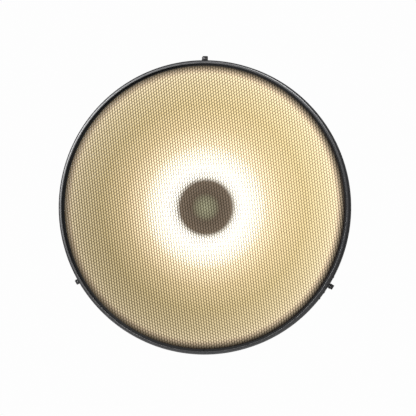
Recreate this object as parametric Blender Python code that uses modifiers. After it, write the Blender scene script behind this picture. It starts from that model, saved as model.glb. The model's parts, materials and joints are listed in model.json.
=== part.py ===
"""Honeycomb grid for a 70 cm beauty dish: a rolled band, its core of open cells, and three sprung hooks.

The grid is modelled lying on its back on a bench: the front faces up (+Z), +Y is the top of the
grid in use, and the plane that rests against the dish's flange is z = 0. STAND then tips the whole
assembly up, so that in the finished part the front faces -Y, the dish side faces +Y and +Z is up.

Each clip is modelled in a clip frame, at angle 0 on the bench: x runs outwards from the ring's axis,
y along the wall, z towards the front.
"""

import math

import bmesh
import bpy
from mathutils import Matrix

MM = 0.001

# The flange of the dish that the grid clips to
FLANGE_OVERHANG = 7.5 * MM
FLANGE_THICKNESS = 4.5 * MM

# Rolled band
BAND_DIAMETER = 695.0 * MM
BAND_DEPTH = 33.0 * MM
BAND_SHEET = 1.2 * MM
FRONT_LIP_WIDTH = 7.6 * MM
FRONT_CORNER_RADIUS = 4.0 * MM
REAR_LIP_WIDTH = 9.5 * MM
REAR_CORNER_RADIUS = 2.0 * MM
BAND_STEPS = 72
SEAM_GAP = 0.8 * MM
SEAM_FROM_CLIP = 7.9 * MM

# Honeycomb core. The solid's cells are coarse: each stands for a patch of real cells, with walls
# thick enough to weigh what the foil weighs.
CELL_PITCH = 7.09 * MM
FOIL_THICKNESS = 0.06 * MM
CELLS_PER_COARSE_CELL = 6
CORE_RECESS = 14.5 * MM
CORE_TURN_DEG = 6.7

# Hoop that holds the core back against the rear lip
HOOP_SHEET = 1.0 * MM
HOOP_REACH = 11.0 * MM
HOOP_SPLIT = 2.0 * MM
HOOP_SPLIT_DEG = 270.0

# Splice plate behind the band's seam
SPLICE_SHEET = 1.2 * MM
SPLICE_LENGTH = 76.0 * MM
SPLICE_SHORT_OF_HOOP = 2.0 * MM
SPLICE_STEPS = 6
SPLICE_RIVET_OFFSETS = (-12.0 * MM, -30.0 * MM, 30.0 * MM)

# Clips
CLIP_ANGLES_DEG = {"top": 90.0, "lower_left": 210.0, "lower_right": 328.1}
SEAM_CLIP = "lower_right"
BRACKET_SHEET = 1.0 * MM
BRACKET_WIDTH = 9.2 * MM
PIN_HEIGHT = 4.9 * MM
PIN_RADIUS = 1.25 * MM
PIN_HEAD_RADIUS = 2.0 * MM
PIN_HEAD_THICKNESS = 0.7 * MM
EAR_TOP_RADIUS = 2.7 * MM
EAR_FOOT_HALF = 4.4 * MM
STOP_HALF_WIDTH = 3.4 * MM
HOOK_SHEET = 1.2 * MM
KNUCKLE_WRAP_DEG = 250.0
KNUCKLE_LENGTH = 6.0 * MM
JOGGLE_LENGTH = 3.0 * MM
HOOK_BEND_RADIUS = 2.4 * MM
HOOK_GRIP = 3.9 * MM
HOOK_FLARE_RADIUS = 3.0 * MM
HOOK_FLARE_DEG = 45.0
SLEEVE_WIDTH = 10.7 * MM
SLEEVE_WALL = 0.5 * MM
SLEEVE_START = 9.5 * MM
SPRING_WIRE_RADIUS = 0.35 * MM
SPRING_TURNS = 3
SPRING_POINTS_PER_TURN = 10
WINDOW_MARGIN = 1.6 * MM

# Rivets
RIVET_RADIUS = 1.5 * MM
RIVET_HEAD_RADIUS = 3.0 * MM
RIVET_HEAD_HEIGHT = 1.1 * MM
RIVET_TAIL_RADIUS = 2.4 * MM
RIVET_TAIL_HEIGHT = 1.8 * MM
RIVET_FROM_FRONT_END = 3.2 * MM
RIVET_FROM_REAR_END = 5.2 * MM

# Clearances
REST_GAP = 0.3 * MM
HOLE_CLEARANCE = 0.3 * MM
WIRE_PITCH_GAP = 0.08 * MM
CUT_BEYOND = 3.0 * MM

# Sizes that follow from the ones above
BAND_RADIUS = BAND_DIAMETER / 2
BAND_INSIDE = BAND_RADIUS - BAND_SHEET
FACET_DROP = math.cos(math.pi / BAND_STEPS)
CORE_REAR = BAND_SHEET + REST_GAP
CORE_FRONT = BAND_DEPTH - CORE_RECESS
CORE_DEPTH = CORE_FRONT - CORE_REAR
SPLICE_OUTSIDE = BAND_INSIDE * FACET_DROP - REST_GAP
SPLICE_INSIDE = SPLICE_OUTSIDE - SPLICE_SHEET
CORE_RADIUS = SPLICE_INSIDE - 2 * REST_GAP - RIVET_TAIL_HEIGHT
SPLICE_REAR = BAND_SHEET + REAR_CORNER_RADIUS
HOOP_REAR = CORE_FRONT + REST_GAP
HOOP_FRONT = BAND_DEPTH - FRONT_CORNER_RADIUS - REST_GAP
HOOP_OUTSIDE = BAND_INSIDE - REST_GAP
SPLICE_WIDTH = HOOP_REAR - SPLICE_REAR - SPLICE_SHORT_OF_HOOP
PIN_Z = BAND_DEPTH / 2
PIN_X = BAND_RADIUS + PIN_HEIGHT
BRACKET_INSIDE = BAND_RADIUS + REST_GAP
BRACKET_OUTSIDE = BRACKET_INSIDE + BRACKET_SHEET
BRACKET_REAR = REAR_CORNER_RADIUS
BRACKET_FRONT = BAND_DEPTH - FRONT_CORNER_RADIUS
FRONT_RIVET_Z = BRACKET_FRONT - RIVET_FROM_FRONT_END
REAR_RIVET_Z = BRACKET_REAR + RIVET_FROM_REAR_END
EAR_INSIDE = BRACKET_WIDTH / 2 - BRACKET_SHEET
KNUCKLE_HALF_WIDTH = EAR_INSIDE - REST_GAP
KNUCKLE_RADIUS = PIN_RADIUS + HOLE_CLEARANCE + HOOK_SHEET / 2
SLEEVE_THICKNESS = HOOK_SHEET + 2 * (REST_GAP + SLEEVE_WALL)
HOOK_WIDTH = SLEEVE_WIDTH - 2 * (REST_GAP + SLEEVE_WALL)
FLANGE_RADIUS = BAND_RADIUS + FLANGE_OVERHANG
ARM_X = FLANGE_RADIUS + REST_GAP + SLEEVE_THICKNESS / 2
THROAT = FLANGE_THICKNESS + 2 * REST_GAP
TIP_Z = -THROAT - SLEEVE_THICKNESS / 2
STOP_X = ARM_X - SLEEVE_THICKNESS / 2 - REST_GAP
COIL_RADIUS = PIN_RADIUS + HOLE_CLEARANCE + SPRING_WIRE_RADIUS
COIL_PITCH = 2 * SPRING_WIRE_RADIUS + WIRE_PITCH_GAP
COIL_HALF_LENGTH = SPRING_TURNS * COIL_PITCH / 2
WINDOW_HALF_WIDTH = COIL_HALF_LENGTH + SPRING_WIRE_RADIUS + REST_GAP
WINDOW_REAR = COIL_RADIUS + SPRING_WIRE_RADIUS + WINDOW_MARGIN
BASE_LEG_END = FRONT_RIVET_Z - PIN_Z - RIVET_HEAD_RADIUS - 2 * REST_GAP
BASE_LEG_LANDING = (COIL_RADIUS + SPRING_WIRE_RADIUS + BASE_LEG_END) / 2
SEAM_DEG = CLIP_ANGLES_DEG[SEAM_CLIP] - math.degrees(SEAM_FROM_CLIP / BAND_RADIUS)
BLACK = (0.012, 0.012, 0.013, 1.0)


def clear_scene():
    """Remove every object and the startup collections' contents."""
    for obj in list(bpy.data.objects):
        bpy.data.objects.remove(obj)


def make_collection(name, hidden=False):
    """Return a new collection in the scene."""
    collection = bpy.data.collections.new(name)
    collection.hide_render = hidden
    bpy.context.scene.collection.children.link(collection)
    return collection


def make_material(name, colour, roughness, metallic):
    """Return a Principled material."""
    material = bpy.data.materials.new(name)
    material.use_nodes = True
    shader = material.node_tree.nodes["Principled BSDF"]
    shader.inputs["Base Color"].default_value = colour
    shader.inputs["Roughness"].default_value = roughness
    shader.inputs["Metallic"].default_value = metallic
    return material


def link(obj, collection, parent=None):
    """Put an object in a collection, under a parent."""
    collection.objects.link(obj)
    obj.parent = parent
    return obj


def mesh_object(name, bm, collection, parent=None):
    """Return a mesh object made from a bmesh, which is freed."""
    mesh = bpy.data.meshes.new(name)
    bm.to_mesh(mesh)
    bm.free()
    return link(bpy.data.objects.new(name, mesh), collection, parent)


def as_cutter(obj):
    """Mark an object as a cutter."""
    obj.hide_render = True
    obj.display_type = "WIRE"
    return obj


def combine(obj, other, operation, solver="EXACT"):
    """Add a Boolean of another object."""
    modifier = obj.modifiers.new(other.name, "BOOLEAN")
    modifier.operation = operation
    modifier.solver = solver
    modifier.object = other


def solidify(obj, thickness, offset):
    """Give an open surface a wall of this thickness."""
    modifier = obj.modifiers.new("wall", "SOLIDIFY")
    modifier.thickness = thickness
    modifier.offset = offset
    modifier.use_even_offset = True
    modifier.use_quality_normals = True


def smooth(mesh):
    """Shade a round piece smooth, with its real edges kept sharp."""
    mesh.shade_smooth()
    mesh.set_sharp_from_angle(angle=math.radians(35))


def finished_mesh(obj, extras=()):
    """Return an object's evaluated mesh, welded, and remove the object and its helpers."""
    bpy.context.view_layer.update()
    evaluated = obj.evaluated_get(bpy.context.evaluated_depsgraph_get())
    mesh = bpy.data.meshes.new_from_object(evaluated)
    mesh.name = obj.name
    bm = bmesh.new()
    bm.from_mesh(mesh)
    bmesh.ops.remove_doubles(bm, verts=bm.verts, dist=1e-7)
    bm.to_mesh(mesh)
    bm.free()
    for helper in (obj, *extras):
        bpy.data.objects.remove(helper)
    return mesh


def arc(centre, radius, start_deg, end_deg, steps):
    """Return points along an arc in a plane."""
    points = []
    for step in range(steps + 1):
        angle = math.radians(start_deg + (end_deg - start_deg) * step / steps)
        points.append((centre[0] + radius * math.cos(angle), centre[1] + radius * math.sin(angle)))
    return points


def turned(name, profile, collection, parent, steps, sweep_deg=360.0, start_deg=0.0):
    """Return an object turned about Z from (radius, height) points, outer side top to bottom."""
    bm = bmesh.new()
    verts = [bm.verts.new((radius, 0.0, height)) for radius, height in profile]
    for first, second in zip(verts, verts[1:]):
        bm.edges.new((first, second))
    obj = mesh_object(name, bm, collection, parent)
    obj.rotation_euler.z = math.radians(start_deg)
    screw = obj.modifiers.new("turn", "SCREW")
    screw.axis = "Z"
    screw.angle = math.radians(sweep_deg)
    screw.steps = steps
    screw.render_steps = steps
    screw.use_merge_vertices = True
    screw.merge_threshold = 1e-6
    return obj


def plate(name, outline, thickness, collection, parent=None):
    """Return a flat plate: an (x, z) outline with this thickness along y, centred on y = 0."""
    curve = bpy.data.curves.new(name, "CURVE")
    curve.dimensions = "2D"
    curve.fill_mode = "BOTH"
    curve.extrude = thickness / 2
    spline = curve.splines.new("POLY")
    spline.points.add(len(outline) - 1)
    for point, (x, z) in zip(spline.points, outline):
        point.co = (x, z, 0.0, 1.0)
    spline.use_cyclic_u = True
    flat = link(bpy.data.objects.new(name, curve), collection)
    flat.rotation_euler.x = math.radians(90)
    bpy.context.view_layer.update()
    turn = flat.matrix_world.copy()
    mesh = finished_mesh(flat)
    mesh.transform(turn)
    bm = bmesh.new()
    bm.from_mesh(mesh)
    bmesh.ops.remove_doubles(bm, verts=bm.verts, dist=1e-7)
    bmesh.ops.recalc_face_normals(bm, faces=bm.faces)
    bm.to_mesh(mesh)
    bm.free()
    return link(bpy.data.objects.new(name, mesh), collection, parent)


def box(name, low, high, collection, parent=None):
    """Return a box between two corners."""
    bm = bmesh.new()
    bmesh.ops.create_cube(bm, size=1.0)
    for vert in bm.verts:
        vert.co = [a + (b - a) * (c + 0.5) for a, b, c in zip(low, high, vert.co)]
    return mesh_object(name, bm, collection, parent)


def cross_pin(name, radius, length, x, z, collection, parent=None):
    """Return a cylinder along y, centred on y = 0."""
    bm = bmesh.new()
    bmesh.ops.create_cone(bm, cap_ends=True, segments=16, radius1=radius, radius2=radius, depth=length)
    obj = mesh_object(name, bm, collection, parent)
    obj.rotation_euler.x = math.radians(90)
    obj.location = (x, 0.0, z)
    return obj


def radial_drill(name, radius, angle_deg, z, collection, parent):
    """Return a cylinder along a radius of the ring, long enough to pass the wall and what is on it."""
    bm = bmesh.new()
    length = BAND_RADIUS - CORE_RADIUS + 2 * CUT_BEYOND
    bmesh.ops.create_cone(bm, cap_ends=True, segments=12, radius1=radius, radius2=radius, depth=length)
    obj = as_cutter(mesh_object(name, bm, collection, parent))
    angle = math.radians(angle_deg)
    obj.rotation_euler = (0.0, math.radians(90), angle)
    obj.location = (BAND_RADIUS * math.cos(angle), BAND_RADIUS * math.sin(angle), z)
    return obj


def ribbon(name, path, width, thickness, collection):
    """Return a strip of sheet: an (x, z) centre line, this wide along y."""
    bm = bmesh.new()
    sides = []
    for y in (-width / 2, width / 2):
        sides.append([bm.verts.new((x, y, z)) for x, z in path])
    for n in range(len(path) - 1):
        bm.faces.new((sides[0][n], sides[0][n + 1], sides[1][n + 1], sides[1][n]))
    obj = mesh_object(name, bm, collection)
    solidify(obj, thickness, 0.0)
    return obj


def rivet_holes():
    """Return {hole name: (angle in degrees, height)} for every rivet through the band."""
    holes = {}
    for clip, angle in CLIP_ANGLES_DEG.items():
        holes[f"front_{clip}"] = (angle, FRONT_RIVET_Z)
        holes[f"rear_{clip}"] = (angle, REAR_RIVET_Z)
    for number, offset in enumerate(SPLICE_RIVET_OFFSETS, 1):
        angle = SEAM_DEG + math.degrees(offset / BAND_RADIUS)
        holes[f"splice_{number}"] = (angle, SPLICE_REAR + SPLICE_WIDTH / 2)
    return holes


def drill(obj, prefix, names, cutters, parent):
    """Drill the named rivet holes through an object."""
    holes = rivet_holes()
    for name in names:
        angle, height = holes[name]
        radius = RIVET_RADIUS + HOLE_CLEARANCE
        cutter = radial_drill(f"{prefix}_hole_{name}", radius, angle, height, cutters, parent)
        combine(obj, cutter, "DIFFERENCE")


def saw(obj, name, angle_deg, gap, cutters, parent):
    """Saw through one side of a ring."""
    low = (CORE_RADIUS - FRONT_LIP_WIDTH - REAR_LIP_WIDTH, -gap / 2, -CUT_BEYOND)
    high = (BAND_RADIUS + CUT_BEYOND, gap / 2, BAND_DEPTH + CUT_BEYOND)
    cutter = as_cutter(box(name, low, high, cutters, parent))
    cutter.rotation_euler.z = math.radians(angle_deg)
    combine(obj, cutter, "DIFFERENCE")


def build_band(parts, cutters, stand):
    """The rolled band: a wall with a rounded front lip and a narrow rear lip, open at its seam."""
    front = BAND_DEPTH - FRONT_CORNER_RADIUS
    skin = [(BAND_RADIUS - FRONT_LIP_WIDTH, BAND_DEPTH)]
    skin += arc((BAND_RADIUS - FRONT_CORNER_RADIUS, front), FRONT_CORNER_RADIUS, 90, 0, 5)
    skin += arc((BAND_RADIUS - REAR_CORNER_RADIUS, REAR_CORNER_RADIUS), REAR_CORNER_RADIUS, 0, -90, 3)
    skin += [(BAND_RADIUS - REAR_LIP_WIDTH, 0.0)]
    band = turned("rim_band", skin, parts, stand, BAND_STEPS)
    solidify(band, BAND_SHEET, -1.0)
    drill(band, "band", rivet_holes(), cutters, stand)
    saw(band, "band_seam", SEAM_DEG, SEAM_GAP, cutters, stand)
    return band


def build_hoop(parts, cutters, stand):
    """The split hoop of angle section that keeps the core from coming forward."""
    skin = [
        (HOOP_OUTSIDE, HOOP_FRONT),
        (HOOP_OUTSIDE, HOOP_REAR),
        (HOOP_OUTSIDE - HOOP_REACH, HOOP_REAR),
    ]
    hoop = turned("core_retaining_hoop", skin, parts, stand, BAND_STEPS)
    solidify(hoop, HOOP_SHEET, -1.0)
    drill(hoop, "hoop", [f"front_{clip}" for clip in CLIP_ANGLES_DEG], cutters, stand)
    saw(hoop, "hoop_split", HOOP_SPLIT_DEG, HOOP_SPLIT, cutters, stand)
    return hoop


def coarse_cell_centres(pitch, reach):
    """Return the centres of hexagonal cells within reach of the axis."""
    along = (math.radians(CORE_TURN_DEG + 30), math.radians(CORE_TURN_DEG + 90))
    count = int(reach / pitch) + 3
    centres = []
    for i in range(-2 * count, 2 * count + 1):
        for j in range(-2 * count, 2 * count + 1):
            x = pitch * (i * math.cos(along[0]) + j * math.cos(along[1]))
            y = pitch * (i * math.sin(along[0]) + j * math.sin(along[1]))
            if math.hypot(x, y) < reach:
                centres.append((x, y))
    return centres


def keep_largest_piece(bm):
    """Delete the loose cell walls that the round edge cuts off."""
    unseen = set(bm.verts)
    pieces = []
    while unseen:
        piece = [unseen.pop()]
        for vert in piece:
            for edge in vert.link_edges:
                other = edge.other_vert(vert)
                if other in unseen:
                    unseen.remove(other)
                    piece.append(other)
        pieces.append(piece)
    pieces.sort(key=len)
    for piece in pieces[:-1]:
        bmesh.ops.delete(bm, geom=piece, context="VERTS")


def build_core(parts, cutters, stand):
    """The honeycomb core, cut to a disc, with coarse cells of the foil's own weight."""
    pitch = CELL_PITCH * CELLS_PER_COARSE_CELL
    foil_share = 8 * FOIL_THICKNESS / (3 * CELL_PITCH)
    wall = foil_share * pitch / 2
    turn = math.radians(CORE_TURN_DEG + 30)
    bm = bmesh.new()
    for x, y in coarse_cell_centres(pitch, CORE_RADIUS + pitch):
        ring = bmesh.ops.create_circle(bm, cap_ends=True, segments=6, radius=pitch / math.sqrt(3))
        place = Matrix.Translation((x, y, CORE_REAR)) @ Matrix.Rotation(turn, 4, "Z")
        bmesh.ops.transform(bm, verts=ring["verts"], matrix=place)
    bmesh.ops.remove_doubles(bm, verts=bm.verts, dist=pitch / 50)
    cells = list(bm.faces)
    bmesh.ops.inset_individual(bm, faces=cells, thickness=wall / 2, use_even_offset=True)
    bmesh.ops.delete(bm, geom=cells, context="FACES_ONLY")
    bmesh.ops.recalc_face_normals(bm, faces=bm.faces)
    lattice = mesh_object("honeycomb_core", bm, parts)
    solidify(lattice, CORE_DEPTH, -1.0 if lattice.data.polygons[0].normal.z < 0 else 1.0)
    disc_bm = bmesh.new()
    bmesh.ops.create_cone(
        disc_bm,
        cap_ends=True,
        segments=BAND_STEPS,
        radius1=CORE_RADIUS,
        radius2=CORE_RADIUS,
        depth=CORE_DEPTH + 2 * CUT_BEYOND,
    )
    disc = as_cutter(mesh_object("core_outline", disc_bm, cutters))
    disc.location.z = CORE_REAR + CORE_DEPTH / 2
    combine(lattice, disc, "INTERSECT", solver="MANIFOLD")
    mesh = finished_mesh(lattice, [disc])
    bm = bmesh.new()
    bm.from_mesh(mesh)
    keep_largest_piece(bm)
    bm.to_mesh(mesh)
    bm.free()
    mesh.name = "honeycomb_core"
    return link(bpy.data.objects.new("honeycomb_core", mesh), parts, stand)


def build_splice_plate(parts, cutters, stand):
    """The curved plate inside the band that bridges its seam."""
    half_deg = math.degrees(SPLICE_LENGTH / 2 / BAND_RADIUS)
    skin = [(SPLICE_OUTSIDE, SPLICE_REAR + SPLICE_WIDTH), (SPLICE_OUTSIDE, SPLICE_REAR)]
    strip = turned("splice_plate", skin, parts, stand, SPLICE_STEPS, 2 * half_deg, SEAM_DEG - half_deg)
    solidify(strip, SPLICE_SHEET, -1.0)
    names = [name for name in rivet_holes() if name.startswith("splice")] + [f"rear_{SEAM_CLIP}"]
    drill(strip, "splice", names, cutters, stand)
    return strip


def rivet_profile(grip):
    """Return the (radius, height) profile of a blind rivet with its head's seat at height 0."""
    head_sphere = (RIVET_HEAD_RADIUS**2 + RIVET_HEAD_HEIGHT**2) / (2 * RIVET_HEAD_HEIGHT)
    reach_deg = math.degrees(math.asin(RIVET_HEAD_RADIUS / head_sphere))
    centre = (0.0, RIVET_HEAD_HEIGHT - head_sphere)
    profile = arc(centre, head_sphere, 90, 90 - reach_deg, 3)
    profile[0] = (0.0, RIVET_HEAD_HEIGHT)
    return profile + [
        (RIVET_RADIUS, 0.0),
        (RIVET_RADIUS, -grip),
        (RIVET_TAIL_RADIUS, -grip),
        (RIVET_TAIL_RADIUS, -grip - RIVET_TAIL_HEIGHT * 0.6),
        (RIVET_TAIL_RADIUS * 0.6, -grip - RIVET_TAIL_HEIGHT),
        (0.0, -grip - RIVET_TAIL_HEIGHT),
    ]


def build_rivet(name, angle_deg, height, seat, inner_face, parts, stand):
    """A rivet along a radius: its head sits on radius seat, its tail closes on radius inner_face."""
    grip = seat - inner_face * FACET_DROP + 2 * REST_GAP
    rivet = turned(name, rivet_profile(grip), parts, stand, 12)
    angle = math.radians(angle_deg)
    reach = seat + REST_GAP
    rivet.rotation_euler = (0.0, math.radians(90), angle)
    rivet.location = (reach * math.cos(angle), reach * math.sin(angle), height)
    return rivet


def build_rivets(parts, stand):
    """Every rivet of the band, with the grip that its stack of sheets needs."""
    rivets = []
    for name, (angle, height) in rivet_holes().items():
        if name.startswith("splice"):
            label, seat, inner_face = name.replace("splice", "splice_rivet"), BAND_RADIUS, SPLICE_INSIDE
        elif name.startswith("front"):
            label, seat, inner_face = f"bracket_rivet_{name}", BRACKET_OUTSIDE, HOOP_OUTSIDE - HOOP_SHEET
        else:
            label, seat = f"bracket_rivet_{name}", BRACKET_OUTSIDE
            inner_face = SPLICE_INSIDE if name.endswith(SEAM_CLIP) else BAND_INSIDE
        rivets.append(build_rivet(label, angle, height, seat, inner_face, parts, stand))
    return rivets


def bracket_mesh(work):
    """The bent bracket: a base on the wall, two ears for the pin and a stop under the hook's arm."""
    length = BRACKET_FRONT - BRACKET_REAR
    base = box(
        "bracket",
        (BRACKET_INSIDE, -BRACKET_WIDTH / 2, BRACKET_REAR),
        (BRACKET_OUTSIDE, BRACKET_WIDTH / 2, BRACKET_REAR + length),
        work,
    )
    ear_outline = [
        (BRACKET_INSIDE, PIN_Z - EAR_FOOT_HALF),
        *arc((PIN_X, PIN_Z), EAR_TOP_RADIUS, -90, 90, 8),
        (BRACKET_INSIDE, PIN_Z + EAR_FOOT_HALF),
    ]
    helpers = []
    for side in (-1, 1):
        ear = plate(f"ear_{side}", ear_outline, BRACKET_SHEET, work)
        ear.location.y = side * (BRACKET_WIDTH - BRACKET_SHEET) / 2
        combine(base, ear, "UNION")
        helpers.append(ear)
    stop = box(
        "stop",
        (BRACKET_INSIDE, -STOP_HALF_WIDTH, BRACKET_REAR),
        (STOP_X, STOP_HALF_WIDTH, BRACKET_REAR + BRACKET_SHEET),
        work,
    )
    combine(base, stop, "UNION")
    pin_hole = cross_pin(
        "pin_hole", PIN_RADIUS + HOLE_CLEARANCE, BRACKET_WIDTH + 2 * CUT_BEYOND, PIN_X, PIN_Z, work
    )
    combine(base, pin_hole, "DIFFERENCE")
    helpers += [stop, pin_hole]
    for height in (REAR_RIVET_Z, FRONT_RIVET_Z):
        hole = radial_drill("rivet_hole", RIVET_RADIUS + HOLE_CLEARANCE, 0.0, height, work, None)
        combine(base, hole, "DIFFERENCE")
        helpers.append(hole)
    return finished_mesh(base, helpers)


def arm_path(tip_extra=0.0):
    """Return the hook's (x, z) centre line from the knuckle's tangent to its tip."""
    start_x = PIN_X + KNUCKLE_RADIUS
    top = PIN_Z - KNUCKLE_LENGTH
    path = [(start_x, PIN_Z), (start_x, top)]
    steps = 6
    for n in range(1, steps + 1):
        t = n / steps
        path.append((start_x + (ARM_X - start_x) * t * t * (3 - 2 * t), top - JOGGLE_LENGTH * t))
    path.append((ARM_X, PIN_Z - SLEEVE_START))
    path += arc((ARM_X - HOOK_BEND_RADIUS, TIP_Z + HOOK_BEND_RADIUS), HOOK_BEND_RADIUS, 0, -90, 5)
    flare_x = FLANGE_RADIUS - HOOK_GRIP
    centre = (flare_x, TIP_Z - HOOK_FLARE_RADIUS)
    path += arc(centre, HOOK_FLARE_RADIUS, 90, 90 + HOOK_FLARE_DEG, 3)
    end_x, end_z = path[-1]
    slope = math.radians(HOOK_FLARE_DEG)
    reach = 0.4 * MM + tip_extra
    path.append((end_x - reach * math.cos(slope), end_z - reach * math.sin(slope)))
    return path


def hook_mesh(work):
    """The sprung hook: a rolled knuckle, a joggled arm and a flared tip, all one strip."""
    knuckle = arc((PIN_X, PIN_Z), KNUCKLE_RADIUS, KNUCKLE_WRAP_DEG, 0, 14)
    hook = ribbon("hook", knuckle + arm_path()[1:], HOOK_WIDTH, HOOK_SHEET, work)
    reach = KNUCKLE_RADIUS + HOOK_SHEET + CUT_BEYOND
    helpers = []
    for side in (-1, 1):
        ys = sorted((side * KNUCKLE_HALF_WIDTH, side * (HOOK_WIDTH + CUT_BEYOND)))
        low = (PIN_X - reach, ys[0], PIN_Z - KNUCKLE_LENGTH)
        helpers.append(box(f"trim_{side}", low, (PIN_X + reach, ys[1], PIN_Z + reach), work))
    helpers.append(
        box(
            "spring_window",
            (PIN_X - reach, -WINDOW_HALF_WIDTH, PIN_Z - WINDOW_REAR),
            (PIN_X + reach, WINDOW_HALF_WIDTH, PIN_Z + reach),
            work,
        )
    )
    for helper in helpers:
        combine(hook, helper, "DIFFERENCE")
    return finished_mesh(hook, helpers)


def sleeve_mesh(work):
    """The rubber boot pulled over the hook's arm and tip, closed at the tip."""
    first = PIN_Z - SLEEVE_START
    outside = [point for point in arm_path(REST_GAP + SLEEVE_WALL) if point[1] <= first + REST_GAP]
    inside = [(ARM_X, first + CUT_BEYOND)]
    inside += [point for point in arm_path(REST_GAP) if point[1] <= first + REST_GAP]
    sleeve = ribbon("sleeve", outside, SLEEVE_WIDTH, SLEEVE_THICKNESS, work)
    hollow = ribbon(
        "hollow", inside, SLEEVE_WIDTH - 2 * SLEEVE_WALL, SLEEVE_THICKNESS - 2 * SLEEVE_WALL, work
    )
    combine(sleeve, hollow, "DIFFERENCE")
    return finished_mesh(sleeve, [hollow])


def pin_profile():
    """Return the (radius, height) profile of the hinge pin, headed at both ends."""
    shank = BRACKET_WIDTH / 2 + REST_GAP
    return [
        (0.0, shank + PIN_HEAD_THICKNESS),
        (PIN_HEAD_RADIUS * 0.8, shank + PIN_HEAD_THICKNESS),
        (PIN_HEAD_RADIUS, shank + PIN_HEAD_THICKNESS * 0.6),
        (PIN_HEAD_RADIUS, shank),
        (PIN_RADIUS, shank),
        (PIN_RADIUS, -shank),
        (PIN_HEAD_RADIUS, -shank),
        (PIN_HEAD_RADIUS, -shank - PIN_HEAD_THICKNESS * 0.6),
        (PIN_HEAD_RADIUS * 0.8, -shank - PIN_HEAD_THICKNESS),
        (0.0, -shank - PIN_HEAD_THICKNESS),
    ]


def spring_path():
    """Return the spring wire's (x, y, z) points about the pin's axis, from the arm's leg to the base's."""
    on_arm = KNUCKLE_RADIUS + HOOK_SHEET / 2 + REST_GAP + SPRING_WIRE_RADIUS
    on_base = BRACKET_OUTSIDE + REST_GAP + SPRING_WIRE_RADIUS - PIN_X
    y0 = -COIL_HALF_LENGTH
    points = [
        (on_arm, y0, -KNUCKLE_LENGTH),
        (on_arm, y0, -WINDOW_REAR + REST_GAP),
    ]
    count = SPRING_TURNS * SPRING_POINTS_PER_TURN
    for n in range(count + 1):
        angle = 2 * math.pi * n / SPRING_POINTS_PER_TURN
        y = y0 + 2 * COIL_HALF_LENGTH * n / count
        points.append((COIL_RADIUS * math.cos(angle), y, COIL_RADIUS * math.sin(angle)))
    points += [
        (COIL_RADIUS, -y0, COIL_RADIUS + SPRING_WIRE_RADIUS),
        (on_base, -y0, BASE_LEG_LANDING),
        (on_base, -y0, BASE_LEG_END),
    ]
    return points


def spring_curve():
    """Return the torsion spring's curve about the pin's axis."""
    curve = bpy.data.curves.new("torsion_spring", "CURVE")
    curve.dimensions = "3D"
    curve.bevel_depth = SPRING_WIRE_RADIUS
    curve.bevel_resolution = 2
    curve.use_fill_caps = True
    spline = curve.splines.new("POLY")
    points = spring_path()
    spline.points.add(len(points) - 1)
    for point, co in zip(spline.points, points):
        point.co = (*co, 1.0)
    return curve


def hinged(name, mesh, place, parts):
    """Place a finished mesh of the clip frame with its origin on the hinge's axis."""
    obj = link(bpy.data.objects.new(name, mesh), parts, place)
    obj.location = (PIN_X, 0.0, PIN_Z)
    return obj


def build_clips(parts, work, stand):
    """Three clips from one set of meshes, each under an empty turned to its place on the ring."""
    bracket = bracket_mesh(work)
    hook = hook_mesh(work)
    sleeve = sleeve_mesh(work)
    for mesh in (hook, sleeve):
        for vert in mesh.vertices:
            vert.co.x -= PIN_X
            vert.co.z -= PIN_Z
    made = {"clip_bracket": [], "hook": [], "hook_sleeve": [], "hinge_pin": [], "torsion_spring": []}
    for clip, angle in CLIP_ANGLES_DEG.items():
        place = link(bpy.data.objects.new(f"place_{clip}", None), parts, stand)
        place.rotation_euler.z = math.radians(angle)
        fixed = link(bpy.data.objects.new(f"clip_bracket_{clip}", bracket), parts, place)
        made["clip_bracket"].append(fixed)
        made["hook"].append(hinged(f"hook_{clip}", hook, place, parts))
        made["hook_sleeve"].append(hinged(f"hook_sleeve_{clip}", sleeve, place, parts))
        pin = turned(f"hinge_pin_{clip}", pin_profile(), parts, place, 12)
        pin.rotation_euler.x = math.radians(90)
        pin.location = (PIN_X, 0.0, PIN_Z)
        made["hinge_pin"].append(pin)
        made["torsion_spring"].append(hinged(f"torsion_spring_{clip}", spring_curve(), place, parts))
    return made


def dress(objects, material, round_piece=True):
    """Give objects a material, and shade the round ones smooth."""
    for obj in objects:
        if not obj.data.materials:
            obj.data.materials.append(material)
        if round_piece and obj.type == "MESH" and obj.data.polygons:
            smooth(obj.data)


def main():
    """Build the grid."""
    clear_scene()
    parts = make_collection("honeycomb_grid")
    cutters = make_collection("cutters", hidden=True)
    stand = link(bpy.data.objects.new("stand_upright", None), parts)
    stand.rotation_euler.x = math.radians(90)
    band_black = make_material("black_powder_coat", BLACK, 0.42, 0.0)
    core_black = make_material("black_foil", (0.02, 0.019, 0.017, 1.0), 0.5, 0.6)
    clip_black = make_material("black_clip_coat", (0.01, 0.01, 0.01, 1.0), 0.38, 0.2)
    rubber = make_material("black_rubber", (0.015, 0.015, 0.015, 1.0), 0.8, 0.0)
    steel = make_material("bright_steel", (0.62, 0.62, 0.63, 1.0), 0.28, 1.0)
    rivet_grey = make_material("blackened_rivet", (0.05, 0.05, 0.052, 1.0), 0.35, 0.8)
    dress([build_band(parts, cutters, stand), build_hoop(parts, cutters, stand)], band_black)
    dress([build_core(parts, cutters, stand)], core_black, round_piece=False)
    dress([build_splice_plate(parts, cutters, stand)], band_black)
    dress(build_rivets(parts, stand), rivet_grey)
    clips = build_clips(parts, cutters, stand)
    dress(clips["clip_bracket"] + clips["hook"], clip_black)
    dress(clips["hook_sleeve"], rubber)
    dress(clips["hinge_pin"] + clips["torsion_spring"], steel)


main()
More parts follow.
